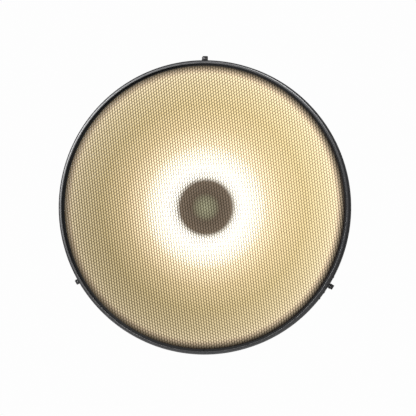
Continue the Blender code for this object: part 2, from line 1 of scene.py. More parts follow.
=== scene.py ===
"""Looks of a honeycomb grid for a beauty dish: rolled band, true-pitch foil core and sprung clips.

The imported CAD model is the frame. The grid stands upright: its front faces -Y, the dish's side +Y.
A ring point is given as (radius, angle, height): the angle runs from +X towards +Z, and the height
is measured from the rear lip towards the front.
"""

from __future__ import annotations

import json
import logging
import math
from dataclasses import dataclass, field
from enum import Enum
from typing import Any, Iterable, Sequence

import bmesh
import bpy
from mathutils import Matrix, Vector

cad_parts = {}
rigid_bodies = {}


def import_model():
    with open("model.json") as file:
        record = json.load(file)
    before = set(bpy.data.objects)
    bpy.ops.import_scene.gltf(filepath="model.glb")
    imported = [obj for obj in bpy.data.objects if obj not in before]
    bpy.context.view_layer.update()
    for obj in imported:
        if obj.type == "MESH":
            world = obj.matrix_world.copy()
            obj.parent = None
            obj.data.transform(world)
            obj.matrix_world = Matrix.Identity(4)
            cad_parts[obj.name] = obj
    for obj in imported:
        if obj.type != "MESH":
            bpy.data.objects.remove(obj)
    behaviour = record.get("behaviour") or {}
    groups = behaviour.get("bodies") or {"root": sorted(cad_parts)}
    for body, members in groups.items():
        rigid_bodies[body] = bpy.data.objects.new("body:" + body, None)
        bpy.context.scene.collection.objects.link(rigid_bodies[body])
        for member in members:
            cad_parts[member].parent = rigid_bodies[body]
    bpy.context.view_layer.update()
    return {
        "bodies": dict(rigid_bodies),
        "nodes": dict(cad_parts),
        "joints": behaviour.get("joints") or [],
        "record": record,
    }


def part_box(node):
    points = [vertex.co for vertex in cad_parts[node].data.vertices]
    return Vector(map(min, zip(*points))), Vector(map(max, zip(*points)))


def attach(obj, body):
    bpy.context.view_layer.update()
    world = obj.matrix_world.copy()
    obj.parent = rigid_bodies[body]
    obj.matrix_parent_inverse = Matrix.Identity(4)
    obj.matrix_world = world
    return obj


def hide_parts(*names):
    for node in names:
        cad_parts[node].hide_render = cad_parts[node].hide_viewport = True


LOG = logging.getLogger("honeycomb_grid")
MM = 0.001
BENCH_TO_FRAME = Matrix.Rotation(math.radians(90), 4, "X")
HEX_ROW = math.sqrt(3) / 2
HEX_TURN = math.radians(30)
SAME_SPOT = 0.001 * MM
CAD_WELD = 2e-6
FLAT_DEG = 3
EDGE_DEG = 40
SHEET_SHADE_DEG = 30

Outline = list[tuple[float, float]]


# ---------------------------------------------------------------------------------------------
# Node trees
# ---------------------------------------------------------------------------------------------


class TreeMaker:
    """Adds and wires nodes in one tree."""

    def __init__(self, tree: bpy.types.NodeTree) -> None:
        """Start on a tree.

        Args:
            tree: The node tree that is added to.
        """
        self.tree = tree

    def add(self, kind: str, **settings: Any) -> bpy.types.Node:
        """Add a node.

        Args:
            kind: The node's Blender type.
            **settings: Properties of the node, by name.

        Returns:
            The new node.
        """
        node = self.tree.nodes.new(kind)
        for name, value in settings.items():
            setattr(node, name, value)
        return node

    def wire(self, source: bpy.types.NodeSocket, target: bpy.types.NodeSocket) -> None:
        """Join an output to an input.

        Args:
            source: The output.
            target: The input.
        """
        self.tree.links.new(source, target)

    def math(self, operation: str, first: Any, second: Any = None) -> bpy.types.NodeSocket:
        """Add a Math node.

        Args:
            operation: The Math node's operation.
            first: A socket or a number.
            second: A socket or a number, where the operation takes two.

        Returns:
            The result's socket.
        """
        node = self.add("ShaderNodeMath", operation=operation)
        self._feed(node.inputs[0], first)
        if second is not None:
            self._feed(node.inputs[1], second)
        return node.outputs[0]

    def vector(
        self, operation: str, first: Any, second: Any = None, scale: Any = None
    ) -> bpy.types.Node:
        """Add a Vector Math node.

        Args:
            operation: The node's operation.
            first: A socket or a vector.
            second: A socket or a vector, where the operation takes two.
            scale: A socket or a number, for the operation SCALE.

        Returns:
            The node, whose outputs are Vector and Value.
        """
        node = self.add("ShaderNodeVectorMath", operation=operation)
        self._feed(node.inputs[0], first)
        if second is not None:
            self._feed(node.inputs[1], second)
        if scale is not None:
            self._feed(node.inputs["Scale"], scale)
        return node

    def _feed(self, target: bpy.types.NodeSocket, value: Any) -> None:
        """Wire a socket to an input, or set the input to a value.

        Args:
            target: The input.
            value: A socket or a value.
        """
        if isinstance(value, bpy.types.NodeSocket):
            self.wire(value, target)
        else:
            target.default_value = value


class GeometryTree(TreeMaker):
    """A Geometry Nodes tree with named inputs, which ends in Realize Instances and Set Material."""

    def __init__(self, name: str) -> None:
        """Make an empty tree.

        Args:
            name: The tree's name.
        """
        super().__init__(bpy.data.node_groups.new(name, "GeometryNodeTree"))
        self.tree.is_modifier = True
        sockets, kind = self.tree.interface, "NodeSocketGeometry"
        sockets.new_socket("Geometry", in_out="INPUT", socket_type=kind)
        sockets.new_socket("Geometry", in_out="OUTPUT", socket_type=kind)
        self.entry = self.add("NodeGroupInput")
        self.exit = self.add("NodeGroupOutput")
        self.identifiers: dict[str, str] = {}

    def size(self, name: str, kind: str = "Float") -> bpy.types.NodeSocket:
        """Add a named input.

        Args:
            name: The input's name.
            kind: The socket's kind, such as Float, Int, Material or Object.

        Returns:
            The input's socket inside the tree.
        """
        sockets = self.tree.interface
        socket = sockets.new_socket(name, in_out="INPUT", socket_type=f"NodeSocket{kind}")
        self.identifiers[name] = socket.identifier
        return self.entry.outputs[name]

    def finish(self, geometry: bpy.types.NodeSocket) -> None:
        """Realize the instances, set the material and end the tree.

        Args:
            geometry: The geometry's last socket.
        """
        material = self.size("Material", "Material")
        real = self.add("GeometryNodeRealizeInstances")
        dress = self.add("GeometryNodeSetMaterial")
        self.wire(geometry, real.inputs[0])
        self.wire(real.outputs[0], dress.inputs["Geometry"])
        self.wire(material, dress.inputs["Material"])
        self.wire(dress.outputs[0], self.exit.inputs[0])

    def grow(self, name: str, base: bpy.types.Mesh, inputs: dict[str, Any]) -> bpy.types.Object:
        """Run the tree on a base mesh and keep the result as a plain mesh.

        Args:
            name: The new object's name.
            base: The mesh that the tree starts from.
            inputs: The tree's inputs, by name.

        Returns:
            A mesh object at the origin, without modifiers.
        """
        seed = bpy.data.objects.new(name, base)
        bpy.context.scene.collection.objects.link(seed)
        modifier = seed.modifiers.new(self.tree.name, "NODES")
        modifier.node_group = self.tree
        for label, value in inputs.items():
            modifier[self.identifiers[label]] = value
        return baked(seed)


# ---------------------------------------------------------------------------------------------
# Mesh work
# ---------------------------------------------------------------------------------------------


def baked(obj: bpy.types.Object) -> bpy.types.Object:
    """Apply an object's modifiers.

    Args:
        obj: An object, which is removed.

    Returns:
        A new object of the same name that holds the evaluated mesh.
    """
    bpy.context.view_layer.update()
    evaluated = obj.evaluated_get(bpy.context.evaluated_depsgraph_get())
    mesh = bpy.data.meshes.new_from_object(evaluated)
    name = obj.name
    bpy.data.objects.remove(obj)
    mesh.name = name
    made = bpy.data.objects.new(name, mesh)
    bpy.context.scene.collection.objects.link(made)
    return made


def mesh_piece(name: str, bm: bmesh.types.BMesh, place: Matrix | None = None) -> bpy.types.Object:
    """Make a mesh object of a bmesh.

    Args:
        name: The object's name.
        bm: The mesh, which is freed.
        place: A matrix that is applied to the mesh.

    Returns:
        The new object, at the origin.
    """
    mesh = bpy.data.meshes.new(name)
    if place is not None:
        bm.transform(place)
    bm.to_mesh(mesh)
    bm.free()
    obj = bpy.data.objects.new(name, mesh)
    bpy.context.scene.collection.objects.link(obj)
    return obj


def shade(obj: bpy.types.Object, sharp_deg: float = 35.0) -> None:
    """Shade smooth, with edges over an angle kept sharp.

    Args:
        obj: The piece.
        sharp_deg: The angle.
    """
    obj.data.shade_smooth()
    obj.data.set_sharp_from_angle(angle=math.radians(sharp_deg))


def outward(obj: bpy.types.Object) -> None:
    """Turn a closed mesh's faces outwards if its volume comes out negative.

    Args:
        obj: The piece.
    """
    bm = bmesh.new()
    bm.from_mesh(obj.data)
    if bm.calc_volume(signed=True) < 0:
        bmesh.ops.reverse_faces(bm, faces=bm.faces)
        bm.to_mesh(obj.data)
    bm.free()


def arc(
    centre: tuple[float, float], radius: float, start_deg: float, end_deg: float, steps: int
) -> Outline:
    """Return points along an arc.

    Args:
        centre: The arc's centre.
        radius: Its radius.
        start_deg: The first point's angle.
        end_deg: The last point's angle.
        steps: The number of chords.

    Returns:
        The points, both ends included.
    """
    points = []
    for step in range(steps + 1):
        angle = math.radians(start_deg + (end_deg - start_deg) * step / steps)
        points.append((centre[0] + radius * math.cos(angle), centre[1] + radius * math.sin(angle)))
    return points


def ring_section(
    outline: Outline, start_deg: float, sweep_deg: float, steps: int
) -> bmesh.types.BMesh:
    """Sweep a closed outline round the ring's axis, with closed ends.

    Args:
        outline: The section's (radius, height) points, in order round it.
        start_deg: The angle of the first end.
        sweep_deg: The angle that is swept, under 360.
        steps: The number of steps.

    Returns:
        The swept solid, on the bench: the axis is Z.
    """
    bm = bmesh.new()
    rows = []
    for step in range(steps + 1):
        angle = math.radians(start_deg + sweep_deg * step / steps)
        cos, sin = math.cos(angle), math.sin(angle)
        rows.append([bm.verts.new((r * cos, r * sin, h)) for r, h in outline])
    count = len(outline)
    for row, following in zip(rows, rows[1:]):
        for n in range(count):
            m = (n + 1) % count
            bm.faces.new((row[n], row[m], following[m], following[n]))
    bm.faces.new(rows[0])
    bm.faces.new(rows[-1])
    bmesh.ops.recalc_face_normals(bm, faces=bm.faces)
    return bm


def lathe(profile: Outline, steps: int) -> bmesh.types.BMesh:
    """Turn a (radius, height) profile about Z.

    Args:
        profile: The profile, whose ends lie on the axis.
        steps: The number of steps.

    Returns:
        The closed solid.
    """
    bm = bmesh.new()
    low, high = bm.verts.new((0, 0, profile[0][1])), bm.verts.new((0, 0, profile[-1][1]))
    rings = []
    for r, h in profile[1:-1]:
        turns = [2 * math.pi * n / steps for n in range(steps)]
        rings.append([bm.verts.new((r * math.cos(t), r * math.sin(t), h)) for t in turns])
    for n in range(steps):
        m = (n + 1) % steps
        bm.faces.new((low, rings[0][m], rings[0][n]))
        bm.faces.new((high, rings[-1][n], rings[-1][m]))
        for ring, following in zip(rings, rings[1:]):
            bm.faces.new((ring[n], ring[m], following[m], following[n]))
    bmesh.ops.recalc_face_normals(bm, faces=bm.faces)
    return bm


def softened(node: bpy.types.Object, name: str, width: float) -> bpy.types.Object:
    """Copy a CAD node with its sheet edges broken, as a press or a file leaves them.

    Args:
        node: The CAD node.
        name: The new piece's name.
        width: The width of the broken edge.

    Returns:
        The new piece.
    """
    bm = bmesh.new()
    bm.from_mesh(node.data)
    bmesh.ops.remove_doubles(bm, verts=bm.verts, dist=CAD_WELD)
    flat = math.radians(FLAT_DEG)
    bmesh.ops.dissolve_limit(bm, angle_limit=flat, verts=bm.verts, edges=bm.edges)
    obj = mesh_piece(name, bm)
    bevel = obj.modifiers.new("edge", "BEVEL")
    bevel.width = width
    bevel.segments = 2
    bevel.limit_method = "ANGLE"
    bevel.angle_limit = math.radians(EDGE_DEG)
    bevel.use_clamp_overlap = True
    obj = baked(obj)
    shade(obj, SHEET_SHADE_DEG)
    return obj


# ---------------------------------------------------------------------------------------------
# Finishes
# ---------------------------------------------------------------------------------------------


class Slot(Enum):
    """The record's material slots."""

    BAND = "band_black"
    CORE = "core_foil"
    CLIP = "clip_black"
    RUBBER = "sleeve_rubber"
    STEEL = "bright_steel"
    RIVET = "rivet_grey"


MOTTLE_LOW, MOTTLE_HIGH = 0.3, 0.7
TONE_DARK, TONE_PALE = 0.82, 1.18
SPECK_SCALE = 0.22
SPECK_LOW, SPECK_HIGH = 0.74, 0.80
SPECK_WEAR = 0.2
SPECK_COVER = 0.85


@dataclass(frozen=True)
class Finish:
    """A surface with fine grain, mottled gloss and a little handling wear.

    Attributes:
        name: The material's name.
        slot: The record's slot.
        colour: The base colour, linear.
        metallic: The share of bare metal, 0 or 1 in the main.
        roughness: The mean roughness.
        roughness_spread: How far the roughness wanders either way.
        grain_scale: Grains to a metre.
        grain_height: The bump's height.
        mottle_scale: Patches of gloss to a metre.
        worn_colour: The colour where the finish is rubbed.
        wear: How much of the surface is rubbed, 0 to 1.
        specular: The specular level.
        edge_tint: The colour of what it reflects at a glance.
    """

    name: str
    slot: Slot
    colour: tuple[float, float, float]
    metallic: float
    roughness: float
    roughness_spread: float
    grain_scale: float
    grain_height: float
    mottle_scale: float
    worn_colour: tuple[float, float, float]
    wear: float
    specular: float = 0.5
    edge_tint: tuple[float, float, float] = (1.0, 1.0, 1.0)

    def material(self) -> bpy.types.Material:
        """Build the material.

        Returns:
            A node material on Object coordinates.
        """
        material = bpy.data.materials.new(self.name)
        material.use_nodes = True
        maker = TreeMaker(material.node_tree)
        shader = material.node_tree.nodes["Principled BSDF"]
        shader.inputs["Metallic"].default_value = self.metallic
        shader.inputs["Specular IOR Level"].default_value = self.specular
        shader.inputs["Specular Tint"].default_value = (*self.edge_tint, 1.0)
        place = maker.add("ShaderNodeTexCoord").outputs["Object"]
        mottle = maker.add("ShaderNodeTexNoise")
        mottle.inputs["Scale"].default_value = self.mottle_scale
        mottle.inputs["Detail"].default_value = 5.0
        maker.wire(place, mottle.inputs["Vector"])
        gloss = maker.add("ShaderNodeMapRange")
        gloss.inputs["From Min"].default_value = MOTTLE_LOW
        gloss.inputs["From Max"].default_value = MOTTLE_HIGH
        gloss.inputs["To Min"].default_value = self.roughness - self.roughness_spread
        gloss.inputs["To Max"].default_value = self.roughness + self.roughness_spread
        maker.wire(mottle.outputs["Fac"], gloss.inputs["Value"])
        maker.wire(gloss.outputs["Result"], shader.inputs["Roughness"])
        self._colour(maker, place, mottle.outputs["Fac"], shader.inputs["Base Color"])
        grain = maker.add("ShaderNodeTexNoise")
        grain.inputs["Scale"].default_value = self.grain_scale
        grain.inputs["Detail"].default_value = 3.0
        grain.inputs["Roughness"].default_value = 0.6
        maker.wire(place, grain.inputs["Vector"])
        bump = maker.add("ShaderNodeBump")
        bump.inputs["Strength"].default_value = 0.5
        bump.inputs["Distance"].default_value = self.grain_height
        maker.wire(grain.outputs["Fac"], bump.inputs["Height"])
        maker.wire(bump.outputs["Normal"], shader.inputs["Normal"])
        return material

    def _colour(
        self,
        maker: TreeMaker,
        place: bpy.types.NodeSocket,
        mottle: bpy.types.NodeSocket,
        target: bpy.types.NodeSocket,
    ) -> None:
        """Wire the colour: the finish, a faint tone from the mottle, and rubbed specks.

        Args:
            maker: The material's tree.
            place: The Object coordinates.
            mottle: The mottle's value.
            target: The shader's colour.
        """
        tone = maker.add("ShaderNodeMix", data_type="RGBA")
        tone.inputs["A"].default_value = (*(c * TONE_DARK for c in self.colour), 1.0)
        tone.inputs["B"].default_value = (*(c * TONE_PALE for c in self.colour), 1.0)
        maker.wire(mottle, tone.inputs["Factor"])
        specks = maker.add("ShaderNodeTexNoise")
        specks.inputs["Scale"].default_value = self.grain_scale * SPECK_SCALE
        specks.inputs["Detail"].default_value = 8.0
        specks.inputs["Roughness"].default_value = 0.72
        maker.wire(place, specks.inputs["Vector"])
        rubbed = maker.add("ShaderNodeMapRange")
        rubbed.inputs["From Min"].default_value = SPECK_LOW - SPECK_WEAR * self.wear
        rubbed.inputs["From Max"].default_value = SPECK_HIGH - SPECK_WEAR * self.wear
        rubbed.inputs["To Max"].default_value = SPECK_COVER
        maker.wire(specks.outputs["Fac"], rubbed.inputs["Value"])
        mix = maker.add("ShaderNodeMix", data_type="RGBA")
        mix.inputs["B"].default_value = (*self.worn_colour, 1.0)
        maker.wire(tone.outputs["Result"], mix.inputs["A"])
        maker.wire(rubbed.outputs["Result"], mix.inputs["Factor"])
        maker.wire(mix.outputs["Result"], target)


BAND_COAT = Finish(
    name="black_satin_coat",
    slot=Slot.BAND,
    colour=(0.011, 0.011, 0.012),
    metallic=0.0,
    roughness=0.36,
    roughness_spread=0.04,
    grain_scale=2600,
    grain_height=0.03 * MM,
    mottle_scale=60,
    worn_colour=(0.035, 0.034, 0.033),
    wear=0.04,
)
# A darker, duller copy of the band's coat for the hoop and the splice plate. Its darker colour is
# painted shade for the recess behind the front lip, where both pieces sit.
RECESS_SHADE_COAT = Finish(
    name="black_matte_coat",
    slot=Slot.BAND,
    colour=(0.005, 0.005, 0.0052),
    metallic=0.0,
    roughness=0.62,
    roughness_spread=0.06,
    grain_scale=2600,
    grain_height=0.06 * MM,
    mottle_scale=60,
    worn_colour=(0.02, 0.02, 0.02),
    wear=0.08,
    specular=0.1,
)
CORE_FOIL = Finish(
    name="black_foil",
    slot=Slot.CORE,
    colour=(0.088, 0.083, 0.074),
    metallic=1.0,
    roughness=0.31,
    roughness_spread=0.03,
    grain_scale=900,
    grain_height=0.03 * MM,
    mottle_scale=90,
    worn_colour=(0.12, 0.115, 0.105),
    wear=0.02,
    # The warm edge tint is a painted golden sheen. It stands in for the colour of the lamplight that
    # the foil's walls reflect.
    edge_tint=(1.0, 0.95, 0.84),
)
CLIP_COAT = Finish(
    name="black_clip_coat",
    slot=Slot.CLIP,
    colour=(0.006, 0.006, 0.0064),
    metallic=0.0,
    roughness=0.44,
    roughness_spread=0.06,
    grain_scale=3200,
    grain_height=0.04 * MM,
    mottle_scale=150,
    worn_colour=(0.06, 0.058, 0.056),
    wear=0.12,
    specular=0.35,
)
SLEEVE_RUBBER = Finish(
    name="black_rubber",
    slot=Slot.RUBBER,
    colour=(0.010, 0.010, 0.010),
    metallic=0.0,
    roughness=0.80,
    roughness_spread=0.08,
    grain_scale=4200,
    grain_height=0.05 * MM,
    mottle_scale=220,
    worn_colour=(0.05, 0.049, 0.047),
    wear=0.15,
    specular=0.35,
)
SPRING_STEEL = Finish(
    name="dull_spring_steel",
    slot=Slot.STEEL,
    colour=(0.22, 0.22, 0.225),
    metallic=1.0,
    roughness=0.42,
    roughness_spread=0.07,
    grain_scale=5200,
    grain_height=0.01 * MM,
    mottle_scale=260,
    worn_colour=(0.13, 0.125, 0.12),
    wear=0.12,
)
RIVET_STEEL = Finish(
    name="blackened_rivet",
    slot=Slot.RIVET,
    colour=(0.115, 0.115, 0.12),
    metallic=1.0,
    roughness=0.34,
    roughness_spread=0.06,
    grain_scale=4200,
    grain_height=0.02 * MM,
    mottle_scale=240,
    worn_colour=(0.40, 0.39, 0.38),
    wear=0.2,
)
FINISHES = (
    BAND_COAT,
    RECESS_SHADE_COAT,
    CORE_FOIL,
    CLIP_COAT,
    SLEEVE_RUBBER,
    SPRING_STEEL,
    RIVET_STEEL,
)


class Wardrobe:
    """The finishes, each built once into a material."""

    def __init__(self, finishes: Iterable[Finish]) -> None:
        """Build every finish.

        Args:
            finishes: The finishes.
        """
        self.materials = {finish: finish.material() for finish in finishes}

    def dress(self, obj: bpy.types.Object, finish: Finish) -> None:
        """Give an object one finish all over.

        Args:
            obj: The piece.
            finish: The finish.
        """
        obj.data.materials.clear()
        obj.data.materials.append(self.materials[finish])
        for polygon in obj.data.polygons:
            polygon.material_index = 0


# ---------------------------------------------------------------------------------------------
# The frame
# ---------------------------------------------------------------------------------------------


@dataclass
class Ring:
    """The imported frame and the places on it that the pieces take.

    Attributes:
        wardrobe: The finishes.
        clip_angles: Each clip's angle round the ring, in degrees.
    """

    frame: dict[str, Any]
    wardrobe: Wardrobe
    clip_angles: dict[str, float] = field(default_factory=dict)

    def __post_init__(self) -> None:
        """Read each clip's angle from its hinge."""
        for joint in self.frame["joints"]:
            x, _, z = joint["pos_m"]
            clip = joint["child"].removeprefix("hook_")
            self.clip_angles[clip] = math.degrees(math.atan2(z, x)) % 360

    def reach(self, node: str) -> tuple[float, float, float]:
        """Measure a ring-shaped node.

        Args:
            node: The CAD node's name.

        Returns:
            Its (outside radius, rear height, front height).
        """
        low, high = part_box(node)
        return max(high.x, high.z, -low.x, -low.z), -high.y, -low.y

    def keep(
        self, obj: bpy.types.Object, body: str, finish: Finish, nodes: Sequence[str]
    ) -> None:
        """Finish a piece: dress it, ride it on its body and let it stand for its CAD nodes.

        Args:
            obj: The piece, at the origin.
            body: The CAD body that it rides on.
            finish: Its finish.
            nodes: The CAD nodes that it stands for.
        """
        self.wardrobe.dress(obj, finish)
        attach(obj, body)
        if nodes:
            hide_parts(*nodes)
        triangles = sum(len(p.vertices) - 2 for p in obj.data.polygons)
        LOG.info("%s: %d triangles on %s", obj.name, triangles, body)


@dataclass
class RolledBand:
    """The outer band: a wall, a crowned front lip and a flat rear lip, butted at a seam.

    Attributes:
        sheet: The sheet's thickness.
        lip: The front lip's width.
        corner: The front corner's outside radius.
        crown: How far the lip's outer part falls away before the corner starts.
        rear_lip: The rear lip's width.
        rear_corner: The rear corner's outside radius.
        seam_deg: The seam's angle.
        seam_gap: The gap at the seam.
        steps: Steps round the ring.
    """

    sheet: float = 1.2 * MM
    lip: float = 7.6 * MM
    corner: float = 4.8 * MM
    crown: float = 0.05 * MM
    rear_lip: float = 9.5 * MM
    rear_corner: float = 2.0 * MM
    seam_deg: float = 326.8
    seam_gap: float = 0.8 * MM
    steps: int = 288

    def outline(self, radius: float, depth: float) -> Outline:
        """Return the band's section.

        Args:
            radius: The wall's outside radius.
            depth: The band's depth.

        Returns:
            The (radius, height) points, in order round the section.
        """
        half = self.sheet / 2
        inner = radius - self.lip + half
        tilt = math.degrees(math.atan2(self.crown, self.lip - self.corner))
        skin = []
        skin += arc((inner, depth - half), half, 270 - tilt, 90 - tilt, 6)
        shoulder = (radius - self.corner, depth - self.crown - self.corner)
        skin += arc(shoulder, self.corner, 90 - tilt, 0, 10)
        skin += arc((radius - self.rear_corner, self.rear_corner), self.rear_corner, 0, -90, 6)
        tail = radius - self.rear_lip + half
        skin += arc((tail, half), half, 270, 90, 6)
        tight = self.rear_corner - self.sheet
        skin += arc((radius - self.rear_corner, self.rear_corner), tight, -90, 0, 3)
        wide = self.corner - self.sheet
        skin += arc(shoulder, wide, 0, 90 - tilt, 6)
        return skin

    def build(self, ring: Ring) -> None:
        """Build the band.

        Args:
            ring: The frame.
        """
        radius, _, depth = ring.reach("rim_band")
        half_gap = math.degrees(self.seam_gap / 2 / radius)
        start, sweep = self.seam_deg + half_gap, 360 - 2 * half_gap
        bm = ring_section(self.outline(radius, depth), start, sweep, self.steps)
        band = mesh_piece("rolled_band", bm, BENCH_TO_FRAME)
        shade(band)
        ring.keep(band, "ring", BAND_COAT, ["rim_band"])


@dataclass
class RetainingHoop:
    """The split hoop of angle section in front of the core.

    Attributes:
        sheet: The sheet's thickness.
        reach: The inward leg's reach.
        bend: The bend's outside radius.
        split_deg: The split's angle.
        split: The split's width.
        steps: Steps round the ring.
    """

    sheet: float = 1.0 * MM
    reach: float = 11.0 * MM
    bend: float = 1.6 * MM
    split_deg: float = 270.0
    split: float = 2.0 * MM
    steps: int = 216

    def build(self, ring: Ring) -> None:
        """Build the hoop.

        Args:
            ring: The frame.
        """
        radius, rear, front = ring.reach("core_retaining_hoop")
        half, tight = self.sheet / 2, self.bend - self.sheet
        outline = arc((radius - half, front - half), half, 180, 0, 6)
        outline += arc((radius - self.bend, rear + self.bend), self.bend, 0, -90, 5)
        outline += arc((radius - self.reach + half, rear + half), half, 270, 90, 6)
        outline += arc((radius - self.bend, rear + self.bend), tight, -90, 0, 3)
        half_split = math.degrees(self.split / 2 / radius)
        bm = ring_section(outline, self.split_deg + half_split, 360 - 2 * half_split, self.steps)
        hoop = mesh_piece("retaining_hoop", bm, BENCH_TO_FRAME)
        shade(hoop)
        # The hoop wears the band's coat made darker: painted shade for the recess.
        ring.keep(hoop, "ring", RECESS_SHADE_COAT, ["core_retaining_hoop"])


@dataclass
class HoneycombCore:
    """The foil core at its true pitch, cut to a disc and made in two halves.

    Attributes:
        pitch: The distance between the centres of neighbouring cells.
        foil: The thickness of a wall between two cells, coat included.
        turn_deg: How far the rows lean from the level.
        sway: How far the rows wander, as an expanded block's do.
        jitter: How far each corner strays on its own.
        seed: The seed of what is random.
        overhang: How far past the core's radius a cell's centre may lie, in pitches.
        weld: How near to each other corners are welded, in pitches.
        wander_scale: The scale of the noise that the rows follow.
        spare_rows: Rows beyond those that span the core.
    """

    pitch: float = 7.09 * MM
    foil: float = 0.34 * MM
    turn_deg: float = 36.7
    sway: float = 1.6 * MM
    jitter: float = 0.16 * MM
    seed: int = 4
    overhang: float = 0.12
    weld: float = 0.08
    wander_scale: float = 7.0
    spare_rows: int = 8

    def tree(self) -> GeometryTree:
        """Build the tree that grows one half of the core from nothing.

        Returns:
            The tree.
        """
        made = GeometryTree("foil_core")
        pitch, foil = made.size("Pitch"), made.size("Foil")
        radius, depth, rear = made.size("Radius"), made.size("Depth"), made.size("Rear")
        sway, jitter = made.size("Sway"), made.size("Jitter")
        seed, count, side = made.size("Seed", "Int"), made.size("Rows", "Int"), made.size("Side")
        points = self._rows(made, pitch, radius, count)
        cells = self._cells(made, points, pitch)
        cells = self._stray(made, cells, sway, jitter, seed)
        cells = self._trim(made, cells, radius, side)
        walls = self._walls(made, cells, pitch, foil)
        made.finish(self._raise(made, walls, depth, rear))
        return made

    def _rows(
        self, made: GeometryTree, pitch: Any, radius: Any, count: Any
    ) -> bpy.types.NodeSocket:
        """Lay out the cells' centres.

        Every second row of the grid is moved by half a pitch, which makes its triangles equal.

        Args:
            made: The tree.
            pitch: The cells' pitch.
            radius: The core's radius.
            count: Rows, and points in a row.

        Returns:
            The centres.
        """
        spacing = made.math("MULTIPLY", pitch, HEX_ROW)
        gaps = made.math("SUBTRACT", count, 1.0)
        grid = made.add("GeometryNodeMeshGrid")
        made.wire(made.math("MULTIPLY", gaps, pitch), grid.inputs["Size X"])
        made.wire(made.math("MULTIPLY", gaps, spacing), grid.inputs["Size Y"])
        made.wire(count, grid.inputs["Vertices X"])
        made.wire(count, grid.inputs["Vertices Y"])
        place = made.add("ShaderNodeSeparateXYZ")
        made.wire(made.add("GeometryNodeInputPosition").outputs[0], place.inputs[0])
        row = made.math("ROUND", made.math("DIVIDE", place.outputs["Y"], spacing))
        odd = made.math("FLOORED_MODULO", row, 2.0)
        shift = made.add("ShaderNodeCombineXYZ")
        made.wire(made.math("MULTIPLY", odd, made.math("MULTIPLY", pitch, 0.5)), shift.inputs["X"])
        move = made.add("GeometryNodeSetPosition")
        made.wire(grid.outputs["Mesh"], move.inputs["Geometry"])
        made.wire(shift.outputs[0], move.inputs["Offset"])
        centre = made.add("GeometryNodeInputPosition").outputs[0]
        away = made.vector("LENGTH", centre).outputs["Value"]
        limit = made.math("ADD", radius, made.math("MULTIPLY", pitch, self.overhang))
        outside = made.math("GREATER_THAN", away, limit)
        cut = made.add("GeometryNodeDeleteGeometry", domain="POINT")
        made.wire(move.outputs[0], cut.inputs["Geometry"])
        made.wire(outside, cut.inputs["Selection"])
        return cut.outputs[0]

    def _cells(self, made: GeometryTree, points: Any, pitch: Any) -> bpy.types.NodeSocket:
        """Put a hexagon on each centre and weld neighbours' corners.

        Args:
            made: The tree.
            points: The centres.
            pitch: The cells' pitch.

        Returns:
            The cells.
        """
        hexagon = made.add("GeometryNodeMeshCircle", fill_type="NGON")
        hexagon.inputs["Vertices"].default_value = 6
        made.wire(made.math("DIVIDE", pitch, math.sqrt(3)), hexagon.inputs["Radius"])
        scatter = made.add("GeometryNodeInstanceOnPoints")
        made.wire(points, scatter.inputs["Points"])
        made.wire(hexagon.outputs["Mesh"], scatter.inputs["Instance"])
        scatter.inputs["Rotation"].default_value = (0.0, 0.0, HEX_TURN)
        real = made.add("GeometryNodeRealizeInstances")
        made.wire(scatter.outputs[0], real.inputs[0])
        weld = made.add("GeometryNodeMergeByDistance")
        made.wire(real.outputs[0], weld.inputs["Geometry"])
        made.wire(made.math("MULTIPLY", pitch, self.weld), weld.inputs["Distance"])
        return weld.outputs[0]

    def _stray(
        self, made: GeometryTree, cells: Any, sway: Any, jitter: Any, seed: Any
    ) -> bpy.types.NodeSocket:
        """Let the rows wander, and each corner a little on its own.

        Args:
            made: The tree.
            cells: The cells.
            sway: How far the rows wander.
            jitter: How far a corner strays.
            seed: The seed.

        Returns:
            The cells, moved.
        """
        wander = made.add("ShaderNodeTexNoise")
        wander.inputs["Scale"].default_value = self.wander_scale
        wander.inputs["Detail"].default_value = 1.0
        centred = made.vector("SUBTRACT", wander.outputs["Color"], (0.5, 0.5, 0.5)).outputs[0]
        slow = made.vector("SCALE", centred, scale=sway).outputs[0]
        own = made.add("FunctionNodeRandomValue", data_type="FLOAT_VECTOR")
        own.inputs["Min"].default_value = (-1.0, -1.0, -1.0)
        own.inputs["Max"].default_value = (1.0, 1.0, 1.0)
        made.wire(seed, next(s for s in own.inputs if s.name == "Seed"))
        quick = made.vector("SCALE", own.outputs["Value"], scale=jitter).outputs[0]
        total = made.vector("ADD", slow, quick).outputs[0]
        flat = made.vector("MULTIPLY", total, (1.0, 1.0, 0.0)).outputs[0]
        move = made.add("GeometryNodeSetPosition")
        made.wire(cells, move.inputs["Geometry"])
        made.wire(flat, move.inputs["Offset"])
        return move.outputs[0]

    def _trim(self, made: GeometryTree, cells: Any, radius: Any, side: Any) -> bpy.types.NodeSocket:
        """Press the outermost corners onto the core's radius, and keep one half.

        Args:
            made: The tree.
            cells: The cells.
            radius: The core's radius.
            side: -1 keeps the left half and 1 the right one.

        Returns:
            Half of the cells.
        """
        position = made.add("GeometryNodeInputPosition").outputs[0]
        away = made.vector("LENGTH", position).outputs["Value"]
        share = made.math("MINIMUM", made.math("DIVIDE", radius, away), 1.0)
        pressed = made.vector("SCALE", position, scale=share).outputs[0]
        press = made.add("GeometryNodeSetPosition")
        made.wire(cells, press.inputs["Geometry"])
        made.wire(pressed, press.inputs["Position"])
        middle = made.add("ShaderNodeSeparateXYZ")
        made.wire(made.add("GeometryNodeInputPosition").outputs[0], middle.inputs[0])
        other = made.math("LESS_THAN", made.math("MULTIPLY", middle.outputs["X"], side), 0.0)
        cut = made.add("GeometryNodeDeleteGeometry", domain="FACE")
        made.wire(press.outputs[0], cut.inputs["Geometry"])
        made.wire(other, cut.inputs["Selection"])
        return cut.outputs[0]

